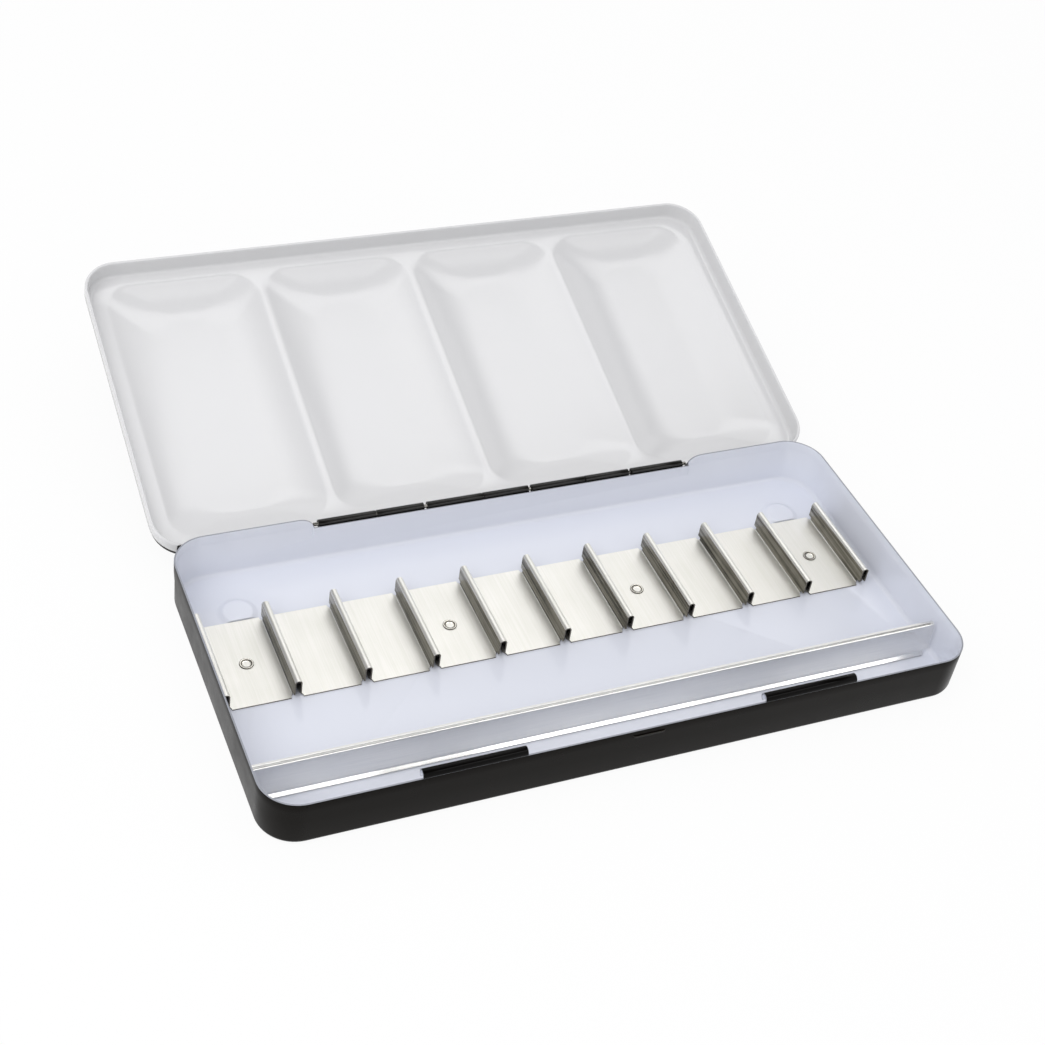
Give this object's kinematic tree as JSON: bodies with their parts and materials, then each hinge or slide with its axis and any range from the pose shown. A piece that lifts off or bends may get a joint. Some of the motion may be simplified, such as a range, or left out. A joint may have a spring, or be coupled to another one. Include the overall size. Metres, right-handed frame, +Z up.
{
  "type": "watercolour paint box",
  "caption": "Flat hinged metal paint box: open palette lid with mixing wells over a shallow base that holds a clip tray for pans and a loose divider rail.",
  "frame": {"origin": "middle of the flat underside of the base, which is the face that it rests on", "axes": "+X along the hinge, to the right for someone who faces the front wall; +Y from the front wall to the hinge; +Z up"},
  "size_m": [0.23, 0.2209, 0.0442],
  "materials": {
    "black_enamel": "black enamel outside and white enamel inside, over thin sheet steel",
    "white_enamel": "glossy white enamel inside and black enamel outside, over thin sheet steel",
    "hinge_black": "satin black enamel on folded steel",
    "pin_steel": "dark drawn wire",
    "tinplate": "bright rolled tinplate",
    "rail_tinplate": "bright rolled tinplate",
    "rivet_metal": "plain bright rivet"
  },
  "bodies": {
    "base": {"base_shell": "black_enamel", "base_hinge_leaf": "hinge_black", "hinge_pin": "pin_steel", "pan_tray": "tinplate", "tray_rivet_1": "rivet_metal", "tray_rivet_2": "rivet_metal", "tray_rivet_3": "rivet_metal", "tray_rivet_4": "rivet_metal"},
    "lid": {"lid_shell": "white_enamel", "lid_hinge_leaf": "hinge_black"},
    "divider": {"divider_rail": "rail_tinplate"}
  },
  "joints": [
    {"name": "lid_hinge", "type": "hinge", "parent": "base", "child": "lid", "pos_m": [0, 0.0553, 0.01295], "axis": [1, 0, 0], "range_deg": [0, 164]},
    {"name": "divider_slide", "type": "slide", "parent": "base", "child": "divider", "axis": [0, 1, 0], "range_m": [-0.004, 0.03]}
  ]
}
